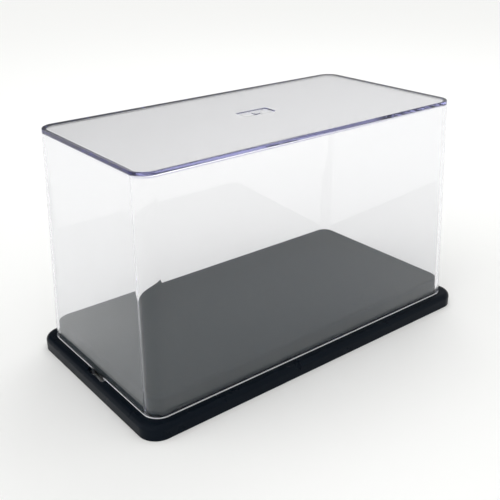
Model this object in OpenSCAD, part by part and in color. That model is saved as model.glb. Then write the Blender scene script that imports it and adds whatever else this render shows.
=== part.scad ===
// Table-top display case for a scale model: a one-piece clear moulded cover that
// drops over a raised plinth on a one-piece black moulded base.
// Origin: centre of the footprint, on the surface that the case stands on.
// +X runs along the long side, +Z points up.

/* [Overall] */
// Length of the base along X
case_l = 240; // [160:1:320]
// Width of the base along Y
case_w = 128; // [100:1:200]
// Height from the table to the top of the cover
case_h = 138; // [80:1:240]

/* [Base] */
// Height of the flange that the cover stands on
flange_h = 8.4; // [6:0.1:14]
// Width of the flange left showing outside the cover
ledge_w = 5.5; // [4:0.1:12]
// Plan radius of the flange's corners
flange_corner_r = 11; // [10:0.1:20]
// Radius along the flange's upper outer edge
flange_edge_r = 3; // [1:0.1:4]
// Height of the plinth above the flange
plinth_h = 11.2; // [6:0.1:20]
// Plan radius of the plinth's corners
plinth_corner_r = 8; // [3:0.1:10]
// Radius along the plinth's upper edge
plinth_edge_r = 1.5; // [0.5:0.1:3]
// Wall thickness of the base moulding
base_wall = 2.2; // [1.5:0.1:3]

/* [Base ribs] */
// Number of ribs across the underside of the plinth
cross_ribs = 5; // [0:1:9]
// Number of ribs along the underside of the plinth
long_ribs = 2; // [0:1:5]
// Depth of the ribs under the plinth's deck
rib_h = 3.5; // [1:0.1:3.8]
// Thickness of the ribs
rib_t = 1.4; // [0.8:0.1:2]

/* [Cover] */
// Wall thickness of the clear cover
cover_wall = 2.2; // [1.5:0.1:3]
// Thickness of the cover's top plate
cover_top = 2.5; // [2:0.1:4]
// Plan radius of the cover's outer corners
cover_corner_r = 9.4; // [6:0.1:12]
// Draft angle of the four walls, in degrees
cover_draft = 2; // [0.5:0.1:3]
// Radius round the outer edge of the top plate
cover_edge_r = 0.5; // [0.4:0.1:1.5]
// Gap on each side between the cover and the plinth, at the flange
cover_gap = 0.8; // [0.6:0.1:1.5]

/* [Locating tabs] */
// Width of the tab in the middle of each end wall
tab_w = 13; // [8:0.5:16]
// Depth of the tab below the wall's lower edge
tab_drop = 3.8; // [3:0.1:5.5]
// Radius of the tab's lower corners
tab_corner_r = 1.2; // [0.5:0.1:2]
// Length of the slot in the flange that takes the tab
slot_l = 17.4; // [17:0.1:30]
// How far the slot reaches out past the cover's end wall
slot_reach = 2.3; // [1:0.1:2.5]

/* [Gate well] */
// Length of the shallow well in the middle of the top
well_l = 22; // [14:0.5:30]
// Width of the well
well_w = 10.5; // [8:0.5:16]
// Depth of the well
well_d = 0.8; // [0.4:0.1:1.2]
// Diameter of the trimmed gate stub that stands in the well
gate_d = 5; // [3:0.1:7]
// Height of the gate stub
gate_h = 0.5; // [0.2:0.1:0.7]

/* [Hidden] */
// Facets of a full circle: fine on rounded solids, coarser inside a hull
$fn = 96;
hull_fn = 64;
// Thickness of the slices that a hull is stretched between
slice = 0.01;
// Overshoot of a cutter past the face that it cuts through
cut = 1;

// Cover, measured at its lower edge and at its top
cover_l = case_l - 2 * ledge_w;
cover_w = case_w - 2 * ledge_w;
cover_h = case_h - flange_h;
inner_corner_r = cover_corner_r - cover_wall;

// Plinth, which fills the inside of the cover apart from the gap
plinth_l = cover_l - 2 * (cover_wall + cover_gap);
plinth_w = cover_w - 2 * (cover_wall + cover_gap);
plinth_top = flange_h + plinth_h;

// Rectangle with round corners, centred on the origin
module round_rect(l, w, r) {
    square([l - 2 * r, w], center = true);
    square([l, w - 2 * r], center = true);
    for (x = [-1, 1], y = [-1, 1])
        translate([x * (l / 2 - r), y * (w / 2 - r)])
            circle(r = r);
}

// Slab standing on z = 0, with upright round corners
module slab(l, w, h, r) {
    linear_extrude(h)
        round_rect(l, w, r);
}

// Section from the middle out to an upright side, its upper outer corner rounded
module edge_section(reach, h, e) {
    square([reach, h - e]);
    square([reach - e, h]);
    translate([reach - e, h - e])
        circle(r = e);
}

// Slab whose upper edge is rounded with radius e all the way round
module soft_slab(l, w, h, r, e) {
    for (side = [0, 1])
        mirror([0, side, 0])
            rotate([90, 0, 90])
                linear_extrude(l - 2 * r, center = true)
                    edge_section(w / 2, h, e);
    for (end = [0, 1])
        mirror([end, 0, 0])
            translate([l / 2 - r, 0, 0]) {
                rotate([90, 0, 0])
                    linear_extrude(w - 2 * r, center = true)
                        edge_section(r, h, e);
                for (side = [0, 1])
                    mirror([0, side, 0])
                        translate([0, w / 2 - r, 0])
                            rotate_extrude(angle = 90)
                                edge_section(r, h, e);
            }
}

// Slots through the flange, one at each end, next to the plinth
module flange_slots() {
    slot_w = cover_l / 2 + slot_reach - plinth_l / 2;
    for (x = [-1, 1])
        translate([x * (plinth_l + slot_w) / 2, 0, flange_h / 2])
            cube([slot_w, slot_l, flange_h + 2 * cut], center = true);
}

// Hollow under the base: a wide low part inside the skirt, and the inside of the plinth
module base_hollow() {
    r = flange_corner_r - base_wall;
    translate([0, 0, -cut])
        slab(case_l - 2 * base_wall, case_w - 2 * base_wall, flange_h - base_wall + cut, r);
    slab(plinth_l - 2 * base_wall, plinth_w - 2 * base_wall, plinth_top - base_wall,
         plinth_corner_r - base_wall);
}

// Shallow ribs that stiffen the plinth's deck from below, sunk halfway into the deck and the walls
module deck_ribs() {
    in_l = plinth_l - base_wall;
    in_w = plinth_w - base_wall;
    tall = rib_h + base_wall / 2;
    translate([0, 0, plinth_top - base_wall / 2 - tall / 2]) {
        if (cross_ribs > 0)
            for (i = [1:cross_ribs])
                translate([in_l * (i / (cross_ribs + 1) - 1 / 2), 0, 0])
                    cube([rib_t, in_w, tall], center = true);
        if (long_ribs > 0)
            for (i = [1:long_ribs])
                translate([0, in_w * (i / (long_ribs + 1) - 1 / 2), 0])
                    cube([in_l, rib_t, tall], center = true);
    }
}

module base_tray() {
    color([0.09, 0.10, 0.12]) {
        difference() {
            union() {
                soft_slab(case_l, case_w, flange_h, flange_corner_r, flange_edge_r);
                soft_slab(plinth_l, plinth_w, plinth_top, plinth_corner_r, plinth_edge_r);
            }
            base_hollow();
            flange_slots();
        }
        deck_ribs();
    }
}

// Outside of the cover: walls that lean in by the draft, up to a rounded top edge
module cover_outside() {
    lean = (cover_h - cover_edge_r) * tan(cover_draft);
    top_l = cover_l - 2 * lean;
    top_w = cover_w - 2 * lean;
    hull() {
        slab(cover_l, cover_w, slice, cover_corner_r, $fn = hull_fn);
        translate([0, 0, cover_h - 2 * cover_edge_r])
            soft_slab(top_l, top_w, 2 * cover_edge_r, cover_corner_r, cover_edge_r, $fn = hull_fn);
    }
}

// Inside of the cover, open at the bottom
module cover_inside() {
    in_l = cover_l - 2 * cover_wall;
    in_w = cover_w - 2 * cover_wall;
    ceiling = cover_h - cover_top;
    lean = ceiling * tan(cover_draft);
    drop = cut * tan(cover_draft);
    hull() {
        translate([0, 0, -cut])
            slab(in_l + 2 * drop, in_w + 2 * drop, slice, inner_corner_r, $fn = hull_fn);
        translate([0, 0, ceiling - slice])
            slab(in_l - 2 * lean, in_w - 2 * lean, slice, inner_corner_r, $fn = hull_fn);
    }
}

// Tongue that continues an end wall down into the flange's slot
module locating_tab() {
    rotate([90, 0, 90])
        linear_extrude(cover_wall)
            union() {
                translate([-tab_w / 2, tab_corner_r - tab_drop])
                    square([tab_w, tab_drop]);
                translate([tab_corner_r - tab_w / 2, -tab_drop])
                    square([tab_w - 2 * tab_corner_r, tab_drop]);
                for (x = [-1, 1])
                    translate([x * (tab_w / 2 - tab_corner_r), tab_corner_r - tab_drop])
                        circle(r = tab_corner_r);
            }
}

module clear_cover() {
    color([0.93, 0.93, 0.98, 0.35])
        translate([0, 0, flange_h]) {
            difference() {
                cover_outside();
                cover_inside();
                translate([0, 0, cover_h + (cut - well_d) / 2])
                    cube([well_l, well_w, well_d + cut], center = true);
            }
            translate([0, 0, cover_h - well_d - cut / 2])
                cylinder(d = gate_d, h = gate_h + cut / 2);
            for (x = [0, 1])
                mirror([x, 0, 0])
                    translate([cover_l / 2 - cover_wall, 0, 0])
                        locating_tab();
        }
}

base_tray();
clear_cover();
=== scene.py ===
"""Looks of the display case: a clear cover on a black base, on a plain pale floor.

Lengths are in metres, in the frame of the CAD model: +X along the long side, +Z up, origin
under the middle of the base. MM turns the small sizes below, written in millimetres, into metres.
"""
import math

import bmesh
import bpy
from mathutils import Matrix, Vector


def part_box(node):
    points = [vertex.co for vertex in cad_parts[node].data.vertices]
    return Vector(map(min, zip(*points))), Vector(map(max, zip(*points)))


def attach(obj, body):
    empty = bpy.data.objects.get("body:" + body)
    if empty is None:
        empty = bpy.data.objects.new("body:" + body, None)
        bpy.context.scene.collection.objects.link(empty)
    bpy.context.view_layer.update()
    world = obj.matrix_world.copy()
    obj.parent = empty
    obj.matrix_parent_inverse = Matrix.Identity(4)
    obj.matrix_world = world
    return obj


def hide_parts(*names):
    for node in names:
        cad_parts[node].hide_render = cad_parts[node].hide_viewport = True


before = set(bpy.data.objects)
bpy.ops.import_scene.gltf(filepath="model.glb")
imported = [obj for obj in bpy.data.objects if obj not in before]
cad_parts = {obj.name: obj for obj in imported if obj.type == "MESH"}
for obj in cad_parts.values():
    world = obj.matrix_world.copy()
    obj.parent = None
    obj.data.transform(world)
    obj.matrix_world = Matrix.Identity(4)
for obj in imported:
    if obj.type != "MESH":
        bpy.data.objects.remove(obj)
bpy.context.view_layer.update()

MM = 0.001

# ---------------------------------------------------------------- sizes
_, BASE_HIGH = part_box("base_tray")
COVER_LOW, COVER_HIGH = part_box("clear_cover")

# Base
BASE_X = BASE_HIGH.x
BASE_Y = BASE_HIGH.y
DECK_Z = BASE_HIGH.z
FLANGE_Z = 8.4 * MM
FLANGE_CORNER = 11.0 * MM
FLANGE_EDGE = 3.0 * MM
BASE_WALL = 2.2 * MM
PLINTH_CORNER = 8.0 * MM
PLINTH_EDGE = 1.5 * MM
CROSS_RIBS = 5
LONG_RIBS = 2
RIB_DEPTH = 3.5 * MM
RIB_THICKNESS = 1.4 * MM

# Cover
COVER_X = COVER_HIGH.x
COVER_Y = COVER_HIGH.y
COVER_Z = COVER_HIGH.z
COVER_WALL = 2.2 * MM
COVER_TOP = 2.5 * MM
COVER_CORNER = 9.4 * MM
COVER_EDGE = 0.5 * MM
CEILING_EDGE = 0.8 * MM
RIM_EDGE = 0.25 * MM         # radius along the outside of the walls' lower edge
RIM_BAND = 0.7 * MM          # height of the matt strip above it
REST_GAP = 0.05 * MM         # air left between the rim and the flange
LEAST_RADIUS = 0.1 * MM      # smallest plan radius of a corner on a rounded edge
DRAFT = math.tan(math.radians(2.0))
COVER_GAP = 0.8 * MM

# Tab and slot in the middle of each end
TAB_HALF = 6.5 * MM
TAB_CORNER = 1.2 * MM
SLOT_HALF = 8.7 * MM
SLOT_REACH = 2.3 * MM

# Gate well in the top
WELL_X = 11.0 * MM
WELL_Y = 5.25 * MM
WELL_DEPTH = 0.8 * MM
WELL_CORNER = 0.8 * MM
GATE_RADIUS = 2.5 * MM
GATE_HEIGHT = 0.5 * MM
GATE_FLAT = 0.05 * MM        # half the straight piece that a ring needs on each of its sides

PLINTH_X = COVER_X - COVER_WALL - COVER_GAP
PLINTH_Y = COVER_Y - COVER_WALL - COVER_GAP

ARC_STEPS = 40       # pieces in each quarter turn of a corner, seen from above
EDGE_STEPS = 8       # pieces in each quarter turn of a rounded edge
BREAK_WIDTH = 0.25 * MM
BREAK_ANGLE = math.radians(40)
BREAK_STEPS = 3
FLAT_WEIGHT = 100    # how much the large flat faces rule the normals
FACING = 0.5         # least share of a normal along an axis for a face to face that way

# Numbers of the cover's materials, and of the base's
WALL_FINISH, MATT_FINISH, POLISHED_FINISH = 0, 1, 2
SATIN_FINISH, GRAINED_FINISH = 0, 1


# ---------------------------------------------------------------- mesh helpers
def corner(cx, cy, radius, first_quarter):
    """Points of a quarter circle that turns left, from first_quarter quarter turns on."""
    start = first_quarter * math.pi / 2
    return [(cx + radius * math.cos(start + math.pi / 2 * i / ARC_STEPS),
             cy + radius * math.sin(start + math.pi / 2 * i / ARC_STEPS))
            for i in range(ARC_STEPS + 1)]


def ring(x, y, radius, z, stop):
    """Round-cornered rectangle at height z, with points at y = -stop and +stop on each end."""
    flat = [(x, -stop), (x, stop)]
    flat += corner(x - radius, y - radius, radius, 0)
    flat += corner(radius - x, y - radius, radius, 1)
    flat += [(-x, stop), (-x, -stop)]
    flat += corner(radius - x, radius - y, radius, 2)
    flat += corner(x - radius, radius - y, radius, 3)
    return [(px, py, z) for px, py in flat]


END_FACES = (0, 2 * (ARC_STEPS + 1) + 2)     # the ring's pieces between the stops, at +x and -x


def lower_edge(x, y, radius, z, edge, stop):
    """Rings of a rounded lower outer edge: from the underside at z, out to the upright side."""
    rings = []
    for i in range(EDGE_STEPS + 1):
        turn = math.pi / 2 * i / EDGE_STEPS
        inset = edge * (1 - math.sin(turn))
        rings.append(ring(x - inset, y - inset, radius - inset,
                          z + edge * (1 - math.cos(turn)), stop))
    return rings


def quarter_edge(x, y, radius, z, edge, stop):
    """Rings of a rounded upper outer edge: from the side at z - edge, in to the flat at z."""
    rings = []
    for i in range(EDGE_STEPS + 1):
        turn = math.pi / 2 * i / EDGE_STEPS
        inset = edge * (1 - math.cos(turn))
        rings.append(ring(x - inset, y - inset, max(radius - inset, LEAST_RADIUS),
                          z - edge + edge * math.sin(turn), stop))
    return rings


class Skin:
    """A mesh under construction, made of rings that all have the same number of points."""

    def __init__(self):
        self.bm = bmesh.new()

    def add(self, points):
        return [self.bm.verts.new(p) for p in points]

    def face(self, verts):
        return self.bm.faces.new(verts)

    def strip(self, low, high, skip=()):
        """Faces between two rings; skip holds the numbers of the faces left open."""
        count = len(low)
        for i in range(count):
            if i not in skip:
                j = (i + 1) % count
                self.face((low[i], low[j], high[j], high[i]))

    def loft(self, rings, skip=()):
        """Strips through a list of ring outlines. Returns the rings' points."""
        made = [self.add(points) for points in rings]
        for low, high in zip(made, made[1:]):
            self.strip(low, high, skip)
        return made

    def finish(self, name):
        bmesh.ops.recalc_face_normals(self.bm, faces=self.bm.faces)
        mesh = bpy.data.meshes.new(name)
        self.bm.to_mesh(mesh)
        self.bm.free()
        for polygon in mesh.polygons:
            polygon.use_smooth = True
        piece = bpy.data.objects.new(name, mesh)
        bpy.context.scene.collection.objects.link(piece)
        return piece


def break_edges(piece, width, finish=-1):
    """Small radius on every sharp edge, and normals that keep the flat faces flat. finish is the
    number of the material that the radii get, or -1 for their neighbours'."""
    bevel = piece.modifiers.new("broken_edges", "BEVEL")
    bevel.width = width
    bevel.segments = BREAK_STEPS
    bevel.limit_method = "ANGLE"
    bevel.angle_limit = BREAK_ANGLE
    bevel.miter_outer = "MITER_ARC"
    bevel.material = finish
    normals = piece.modifiers.new("flat_faces", "WEIGHTED_NORMAL")
    normals.keep_sharp = True
    normals.weight = FLAT_WEIGHT


# ---------------------------------------------------------------- cover
def lean_at(z):
    """How far the cover's walls have leaned in at height z."""
    return (z - FLANGE_Z) * DRAFT


def build_cover():
    skin = Skin()
    rim_z = FLANGE_Z + REST_GAP
    ceiling_z = COVER_Z - COVER_TOP
    lean = lean_at(ceiling_z)
    rim = skin.loft(lower_edge(COVER_X, COVER_Y, COVER_CORNER, rim_z, RIM_EDGE, TAB_HALF),
                    skip=END_FACES)

    band_z = rim_z + RIM_EDGE + RIM_BAND
    top_rings = [ring(COVER_X - lean_at(band_z), COVER_Y - lean_at(band_z), COVER_CORNER, band_z,
                      TAB_HALF),
                 ring(COVER_X - lean, COVER_Y - lean, COVER_CORNER, ceiling_z, TAB_HALF)]
    lean = lean_at(COVER_Z - COVER_EDGE)
    top_rings += quarter_edge(COVER_X - lean, COVER_Y - lean, COVER_CORNER, COVER_Z, COVER_EDGE,
                              TAB_HALF)
    floor_z = COVER_Z - WELL_DEPTH
    gate = (GATE_RADIUS, GATE_RADIUS, GATE_RADIUS - GATE_FLAT)
    top_rings += [ring(WELL_X, WELL_Y, WELL_CORNER, COVER_Z, WELL_Y / 2),
                  ring(WELL_X, WELL_Y, WELL_CORNER, floor_z, WELL_Y / 2),
                  ring(*gate, floor_z, GATE_FLAT / 2),
                  ring(*gate, floor_z + GATE_HEIGHT, GATE_FLAT / 2)]
    top = skin.loft(top_rings)
    skin.strip(rim[-1], top[0])
    skin.face(top[-1])

    inner_x = COVER_X - COVER_WALL
    inner_y = COVER_Y - COVER_WALL
    inner_corner = COVER_CORNER - COVER_WALL
    lean = lean_at(ceiling_z - CEILING_EDGE)
    inner_rings = [ring(inner_x, inner_y, inner_corner, rim_z, TAB_HALF)]
    inner_rings += quarter_edge(inner_x - lean, inner_y - lean, inner_corner, ceiling_z,
                                CEILING_EDGE, TAB_HALF)
    inner = skin.loft(inner_rings)
    skin.face(inner[-1])
    skin.strip(rim[0], inner[0], skip=END_FACES)

    for first in END_FACES:
        hang_tab(skin, [[points[first] for points in rim], [points[first + 1] for points in rim]],
                 [inner[0][first], inner[0][first + 1]])
    return skin.finish("cover_moulding")


def cover_finish(polygon):
    """Number of the cover's material for a face."""
    centre, normal = polygon.center, polygon.normal
    rim_z = FLANGE_Z + REST_GAP
    if centre.z < rim_z:
        return MATT_FINISH if abs(normal.y) > FACING else POLISHED_FINISH
    if centre.z < rim_z + RIM_EDGE + RIM_BAND:
        if abs(centre.x) > COVER_X - COVER_WALL and abs(centre.y) < TAB_HALF - BREAK_WIDTH:
            return POLISHED_FINISH
        if centre.x * normal.x + centre.y * normal.y > 0:
            return MATT_FINISH
    top = centre.z > COVER_Z - COVER_TOP - CEILING_EDGE
    return POLISHED_FINISH if top else WALL_FINISH


def hang_tab(skin, rims, inner):
    """A tab below the rim of an end wall. rims holds the rounded edge's points at the tab's two
    sides, from the underside up to the wall, and inner the inside rim's point at each side."""
    low_z = COVER_LOW.z
    x_out = rims[0][-1].co.x
    x_in = inner[0].co.x
    flip = 1 if rims[1][-1].co.y > rims[0][-1].co.y else -1
    outline = []
    for side, quarter in ((-1, 2), (1, 3)):
        for i in range(EDGE_STEPS + 1):
            turn = (quarter + i / EDGE_STEPS) * math.pi / 2
            outline.append((flip * (side * (TAB_HALF - TAB_CORNER) + TAB_CORNER * math.cos(turn)),
                            low_z + TAB_CORNER + TAB_CORNER * math.sin(turn)))
    outside = skin.add([(x_out, y, z) for y, z in outline])
    inside = skin.add([(x_in, y, z) for y, z in outline])
    skin.face([rims[0][-1]] + outside + [rims[1][-1]])
    skin.face([inner[0]] + inside + [inner[1]])
    for i in range(len(outline) - 1):
        skin.face((outside[i], outside[i + 1], inside[i + 1], inside[i]))
    for side, end in ((0, 0), (1, -1)):
        skin.face([outside[end], inside[end], inner[side]] + rims[side])


# ---------------------------------------------------------------- base
def build_base():
    skin = Skin()
    slot_x = COVER_X + SLOT_REACH
    slot_inset = BASE_X - slot_x
    plinth_foot = ring(PLINTH_X, PLINTH_Y, PLINTH_CORNER, FLANGE_Z, SLOT_HALF)

    flange_rings = [ring(BASE_X, BASE_Y, FLANGE_CORNER, 0, SLOT_HALF)]
    flange_rings += quarter_edge(BASE_X, BASE_Y, FLANGE_CORNER, FLANGE_Z, FLANGE_EDGE, SLOT_HALF)
    flange_rings.append(ring(slot_x, BASE_Y - slot_inset, FLANGE_CORNER - slot_inset, FLANGE_Z,
                             SLOT_HALF))
    flange = skin.loft(flange_rings)
    plinth_rings = [plinth_foot] + quarter_edge(PLINTH_X, PLINTH_Y, PLINTH_CORNER, DECK_Z,
                                                PLINTH_EDGE, SLOT_HALF)
    plinth = skin.loft(plinth_rings)
    skin.strip(flange[-1], plinth[0], skip=END_FACES)
    skin.face(plinth[-1])

    under_z = FLANGE_Z - BASE_WALL
    ceiling_z = DECK_Z - BASE_WALL
    inner_x = PLINTH_X - BASE_WALL
    inner_y = PLINTH_Y - BASE_WALL
    inner_corner = PLINTH_CORNER - BASE_WALL
    skirt_corner = FLANGE_CORNER - BASE_WALL
    skirt = skin.loft([ring(BASE_X - BASE_WALL, BASE_Y - BASE_WALL, skirt_corner, 0, SLOT_HALF),
                       ring(BASE_X - BASE_WALL, BASE_Y - BASE_WALL, skirt_corner, under_z,
                            SLOT_HALF),
                       ring(slot_x, BASE_Y - slot_inset, FLANGE_CORNER - slot_inset, under_z,
                            SLOT_HALF)])
    hollow = skin.loft([ring(PLINTH_X, PLINTH_Y, PLINTH_CORNER, under_z, SLOT_HALF),
                        ring(inner_x, inner_y, inner_corner, under_z, SLOT_HALF),
                        ring(inner_x, inner_y, inner_corner, ceiling_z, SLOT_HALF)])
    skin.strip(skirt[-1], hollow[0], skip=END_FACES)
    skin.face(hollow[-1])
    skin.strip(flange[0], skirt[0])

    for first in END_FACES:
        second = first + 1
        top = (flange[-1][first], flange[-1][second], plinth[0][second], plinth[0][first])
        low = (skirt[-1][first], skirt[-1][second], hollow[0][second], hollow[0][first])
        for i in range(4):
            j = (i + 1) % 4
            skin.face((top[i], top[j], low[j], low[i]))
    piece = skin.finish("base_moulding")
    add_ribs(piece)
    return piece


def add_box(bm, low, high):
    """Closed box between two opposite corners."""
    made = bmesh.ops.create_cube(bm, size=1.0)["verts"]
    for vert in made:
        vert.co = Vector([low[i] if vert.co[i] < 0 else high[i] for i in range(3)])


def add_ribs(piece):
    """Joins the lattice of ribs to the underside of the deck, as one surface."""
    half_x = PLINTH_X - BASE_WALL / 2
    half_y = PLINTH_Y - BASE_WALL / 2
    top_z = DECK_Z - BASE_WALL / 2
    low_z = DECK_Z - BASE_WALL - RIB_DEPTH
    half = RIB_THICKNESS / 2
    bm = bmesh.new()
    for i in range(1, CROSS_RIBS + 1):
        x = half_x * (2 * i / (CROSS_RIBS + 1) - 1)
        add_box(bm, (x - half, -half_y, low_z), (x + half, half_y, top_z))
    for i in range(1, LONG_RIBS + 1):
        y = half_y * (2 * i / (LONG_RIBS + 1) - 1)
        add_box(bm, (-half_x, y - half, low_z), (half_x, y + half, top_z))
    lattice_mesh = bpy.data.meshes.new("rib_lattice")
    bm.to_mesh(lattice_mesh)
    bm.free()
    lattice = bpy.data.objects.new("rib_lattice", lattice_mesh)
    bpy.context.scene.collection.objects.link(lattice)
    union = piece.modifiers.new("ribs", "BOOLEAN")
    union.operation = "UNION"
    union.solver = "EXACT"
    union.use_self = True
    union.object = lattice
    bpy.context.view_layer.update()
    joined = bpy.data.meshes.new_from_object(
        piece.evaluated_get(bpy.context.evaluated_depsgraph_get()))
    piece.modifiers.remove(union)
    plain_mesh = piece.data
    piece.data = joined
    bpy.data.objects.remove(lattice)
    bpy.data.meshes.remove(lattice_mesh)
    bpy.data.meshes.remove(plain_mesh)
    for polygon in joined.polygons:
        polygon.use_smooth = True


# ---------------------------------------------------------------- materials
CLEAR_IOR = 1.49
CLEAR_TINT = (0.50, 0.50, 0.78, 1)
CLEAR_DENSITY = 18.0
WALL_COLOUR = (0.980, 0.980, 0.978, 1)
RIM_COLOUR = (0.97, 0.985, 1, 1)
TOP_COLOUR = (1, 1, 1, 1)
POLISH = (0.01, 0.03)        # least and greatest roughness
MATT = (0.4, 0.6)
WALL_HAZE = 0.10
HAZE_TINT = (0.86, 0.95, 1.0, 1)
HAZE_ROUGHNESS = 0.5
RIM_FROST = 0.6
SMUDGE_SCALE = 45.0
RIPPLE_SCALE = 30.0
RIPPLE_DEPTH = 0.001 * MM

BLACK_IOR = 1.5
BLACK_GLOSS = 0.06
SATIN_BLACK = (0.002, 0.0045, 0.0085, 1)
SATIN = (0.26, 0.34)
SATIN_GRAIN = 0.01 * MM
GRAINED_BLACK = (0.024, 0.035, 0.043, 1)
GRAINED = (0.5, 0.6)
GRAINED_GRAIN = 0.05 * MM
CLOUD_SCALE = 60.0
GRAIN_SCALE = 2500.0
PLINTH_FINISH_RISE = 0.1 * MM    # height above the flange from which faces are grained


def new_material(name):
    material = bpy.data.materials.new(name)
    material.use_nodes = True
    tree = material.node_tree
    return material, tree.nodes, tree.links, tree.nodes["Principled BSDF"]


def scaled_noise(nodes, links, scale, detail):
    """Noise laid through the object's own space, in lumps of about 1 / scale metres."""
    place = nodes.new("ShaderNodeTexCoord")
    noise = nodes.new("ShaderNodeTexNoise")
    noise.inputs["Scale"].default_value = scale
    noise.inputs["Detail"].default_value = detail
    noise.inputs["Roughness"].default_value = 0.5
    links.new(place.outputs["Object"], noise.inputs["Vector"])
    return noise


def ranged(nodes, links, source, low, high, from_low=0.3, from_high=0.7):
    """Maps a texture's value to the range low to high."""
    remap = nodes.new("ShaderNodeMapRange")
    remap.inputs["From Min"].default_value = from_low
    remap.inputs["From Max"].default_value = from_high
    remap.inputs["To Min"].default_value = low
    remap.inputs["To Max"].default_value = high
    links.new(source, remap.inputs["Value"])
    return remap.outputs["Result"]


def add_bump(nodes, links, shader, height, depth):
    bump = nodes.new("ShaderNodeBump")
    bump.inputs["Distance"].default_value = depth
    links.new(height, bump.inputs["Height"])
    links.new(bump.outputs["Normal"], shader.inputs["Normal"])


def clear_plastic(name, colour, roughness, haze=0.0, frost=0.0):
    """Clear polystyrene. haze is the pale bloom that fine scratches and dust give at grazing
    angles, and frost is the share of the surface that is matt white."""
    material, nodes, links, shader = new_material(name)
    shader.inputs["Base Color"].default_value = colour
    shader.inputs["Transmission Weight"].default_value = 1.0 - frost
    shader.inputs["IOR"].default_value = CLEAR_IOR
    shader.inputs["Sheen Weight"].default_value = haze
    shader.inputs["Sheen Roughness"].default_value = HAZE_ROUGHNESS
    shader.inputs["Sheen Tint"].default_value = HAZE_TINT
    smudges = scaled_noise(nodes, links, SMUDGE_SCALE, detail=3.0)
    links.new(ranged(nodes, links, smudges.outputs["Fac"], *roughness),
              shader.inputs["Roughness"])
    ripple = scaled_noise(nodes, links, RIPPLE_SCALE, detail=1.0)
    add_bump(nodes, links, shader, ripple.outputs["Fac"], RIPPLE_DEPTH)
    tint = nodes.new("ShaderNodeVolumeAbsorption")
    tint.inputs["Color"].default_value = CLEAR_TINT
    tint.inputs["Density"].default_value = CLEAR_DENSITY
    links.new(tint.outputs["Volume"], nodes["Material Output"].inputs["Volume"])
    return material


def black_plastic(name, colour, roughness, grain_depth):
    """Black moulding plastic with a fine grain, and a gloss that varies in soft clouds."""
    material, nodes, links, shader = new_material(name)
    shader.inputs["Base Color"].default_value = colour
    shader.inputs["IOR"].default_value = BLACK_IOR
    shader.inputs["Specular IOR Level"].default_value = BLACK_GLOSS
    cloud = scaled_noise(nodes, links, CLOUD_SCALE, detail=4.0)
    links.new(ranged(nodes, links, cloud.outputs["Fac"], *roughness), shader.inputs["Roughness"])
    grain = scaled_noise(nodes, links, GRAIN_SCALE, detail=2.0)
    add_bump(nodes, links, shader, grain.outputs["Fac"], grain_depth)
    return material


# ---------------------------------------------------------------- pieces
cover = build_cover()
break_edges(cover, BREAK_WIDTH, MATT_FINISH)
cover.data.materials.append(clear_plastic("clear_polystyrene", WALL_COLOUR, POLISH,
                                          haze=WALL_HAZE))
cover.data.materials.append(clear_plastic("matt_polystyrene", RIM_COLOUR, MATT, frost=RIM_FROST))
cover.data.materials.append(clear_plastic("polished_polystyrene", TOP_COLOUR, POLISH))
for polygon in cover.data.polygons:
    polygon.material_index = cover_finish(polygon)
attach(cover, "cover")
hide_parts("clear_cover")

base = build_base()
break_edges(base, BREAK_WIDTH)
base.data.materials.append(black_plastic("black_satin_plastic", SATIN_BLACK, SATIN, SATIN_GRAIN))
base.data.materials.append(black_plastic("black_grained_plastic", GRAINED_BLACK, GRAINED,
                                         GRAINED_GRAIN))
for polygon in base.data.polygons:
    raised = polygon.center.z > FLANGE_Z + PLINTH_FINISH_RISE
    outside = polygon.normal.z > -FACING
    polygon.material_index = GRAINED_FINISH if raised and outside else SATIN_FINISH
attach(base, "base")
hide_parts("base_tray")

# ---------------------------------------------------------------- stage
FLOOR_HALF = 6.0
FLOOR_COLOUR = (0.900, 0.902, 0.893, 1)
FLOOR_ROUGHNESS = 0.9

# Sky: strength, plain colour, and ramps of grey as pairs of position and level. The band's
# position is the height of a direction, and the sides' and the front's are its x and y, mapped
# from -1..1 to 0..1.
SKY_STRENGTH = 2.25
SKY_COLOUR = (0.485, 0.485, 0.480, 1)
SKY_BAND = ((0.10, 0.0), (0.20, 1.0), (0.60, 1.0), (0.80, 0.0))
SKY_SIDES = ((0.15, 0.80), (0.38, 0.04), (0.62, 0.04), (0.90, 0.25))
SKY_FRONT = ((0.45, 0.40), (0.72, 0.0))

SOFTBOX_PLACE = Vector((0.45, 0.35, 0.90))
SOFTBOX_SIZE = 0.55
SOFTBOX_WATTS = 1.8

LONGEST_PATH = 96        # the top plate's edge is lit through dozens of inner reflections
DIFFUSE_PATH = 4

scene = bpy.context.scene


def build_floor():
    mesh = bpy.data.meshes.new("floor")
    mesh.from_pydata([(-FLOOR_HALF, -FLOOR_HALF, 0), (FLOOR_HALF, -FLOOR_HALF, 0),
                      (FLOOR_HALF, FLOOR_HALF, 0), (-FLOOR_HALF, FLOOR_HALF, 0)],
                     [], [(0, 1, 2, 3)])
    material, _, _, shader = new_material("floor_white")
    shader.inputs["Base Color"].default_value = FLOOR_COLOUR
    shader.inputs["Roughness"].default_value = FLOOR_ROUGHNESS
    shader.inputs["Specular IOR Level"].default_value = 0.0
    mesh.materials.append(material)
    piece = bpy.data.objects.new("floor", mesh)
    scene.collection.objects.link(piece)
    return piece


def ramp(nodes, links, source, stops):
    """Colour ramp from grey levels: stops holds pairs of position and level."""
    node = nodes.new("ShaderNodeValToRGB")
    links.new(source, node.inputs["Fac"])
    elements = node.color_ramp.elements
    while len(elements) < len(stops):
        elements.new(1.0)
    for element, (position, level) in zip(elements, stops):
        element.position = position
        element.color = (level, level, level, 1)
    return node.outputs["Color"]


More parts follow.
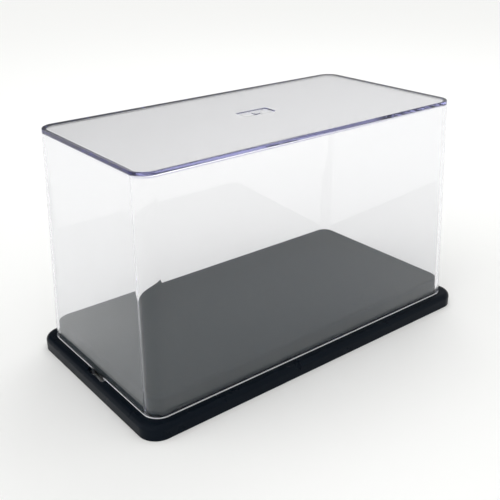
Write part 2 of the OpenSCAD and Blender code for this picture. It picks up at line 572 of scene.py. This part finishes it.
def studio_world():
    """Bright all round, apart from a band above the horizon that is dark behind the case."""
    world = bpy.data.worlds.new("studio")
    world.use_nodes = True
    nodes, links = world.node_tree.nodes, world.node_tree.links
    place = nodes.new("ShaderNodeTexCoord")
    split = nodes.new("ShaderNodeSeparateXYZ")
    links.new(place.outputs["Generated"], split.inputs["Vector"])
    across = ranged(nodes, links, split.outputs["X"], 0.0, 1.0, -1.0, 1.0)
    away = ranged(nodes, links, split.outputs["Y"], 0.0, 1.0, -1.0, 1.0)
    lighter = nodes.new("ShaderNodeMixRGB")
    lighter.blend_type = "LIGHTEN"
    lighter.inputs["Fac"].default_value = 1.0
    links.new(ramp(nodes, links, across, SKY_SIDES), lighter.inputs["Color1"])
    links.new(ramp(nodes, links, away, SKY_FRONT), lighter.inputs["Color2"])
    blend = nodes.new("ShaderNodeMixRGB")
    blend.inputs["Color1"].default_value = SKY_COLOUR
    links.new(ramp(nodes, links, split.outputs["Z"], SKY_BAND), blend.inputs["Fac"])
    links.new(lighter.outputs["Color"], blend.inputs["Color2"])
    background = nodes["Background"]
    background.inputs["Strength"].default_value = SKY_STRENGTH
    links.new(blend.outputs["Color"], background.inputs["Color"])
    scene.world = world


def add_softbox():
    """Large soft light, high up behind the case and to its right, turned to the case."""
    data = bpy.data.lights.new("softbox", "AREA")
    data.size = SOFTBOX_SIZE
    data.energy = SOFTBOX_WATTS
    softbox = bpy.data.objects.new("softbox", data)
    softbox.location = SOFTBOX_PLACE
    softbox.rotation_euler = SOFTBOX_PLACE.to_track_quat("Z", "Y").to_euler()
    scene.collection.objects.link(softbox)


floor = build_floor()
studio_world()
add_softbox()

scene.view_settings.view_transform = "Standard"
scene.cycles.max_bounces = LONGEST_PATH
scene.cycles.transmission_bounces = LONGEST_PATH
scene.cycles.glossy_bounces = LONGEST_PATH
scene.cycles.diffuse_bounces = DIFFUSE_PATH

# ---------------------------------------------------------------- camera
CAMERA_AZIMUTH = math.radians(-38.15)
CAMERA_ELEVATION = math.radians(24.33)
CAMERA_ROLL = -0.0112
CAMERA_DISTANCE = 0.470
CAMERA_LENS = 54.58
CAMERA_SENSOR = 36.0
CAMERA_NEAR = 0.01
AIM = Vector((-3.5 * MM, 2.3 * MM, 51.4 * MM))
back = Vector((math.sin(CAMERA_AZIMUTH) * math.cos(CAMERA_ELEVATION),
               -math.cos(CAMERA_AZIMUTH) * math.cos(CAMERA_ELEVATION),
               math.sin(CAMERA_ELEVATION)))
camera_data = bpy.data.cameras.new("camera")
camera_data.lens = CAMERA_LENS
camera_data.sensor_width = CAMERA_SENSOR
camera_data.clip_start = CAMERA_NEAR
camera = bpy.data.objects.new("camera", camera_data)
scene.collection.objects.link(camera)
camera.location = AIM + back * CAMERA_DISTANCE
camera.rotation_euler = back.to_track_quat("Z", "Y").to_euler()
camera.rotation_euler.rotate_axis("Z", CAMERA_ROLL)
scene.camera = camera
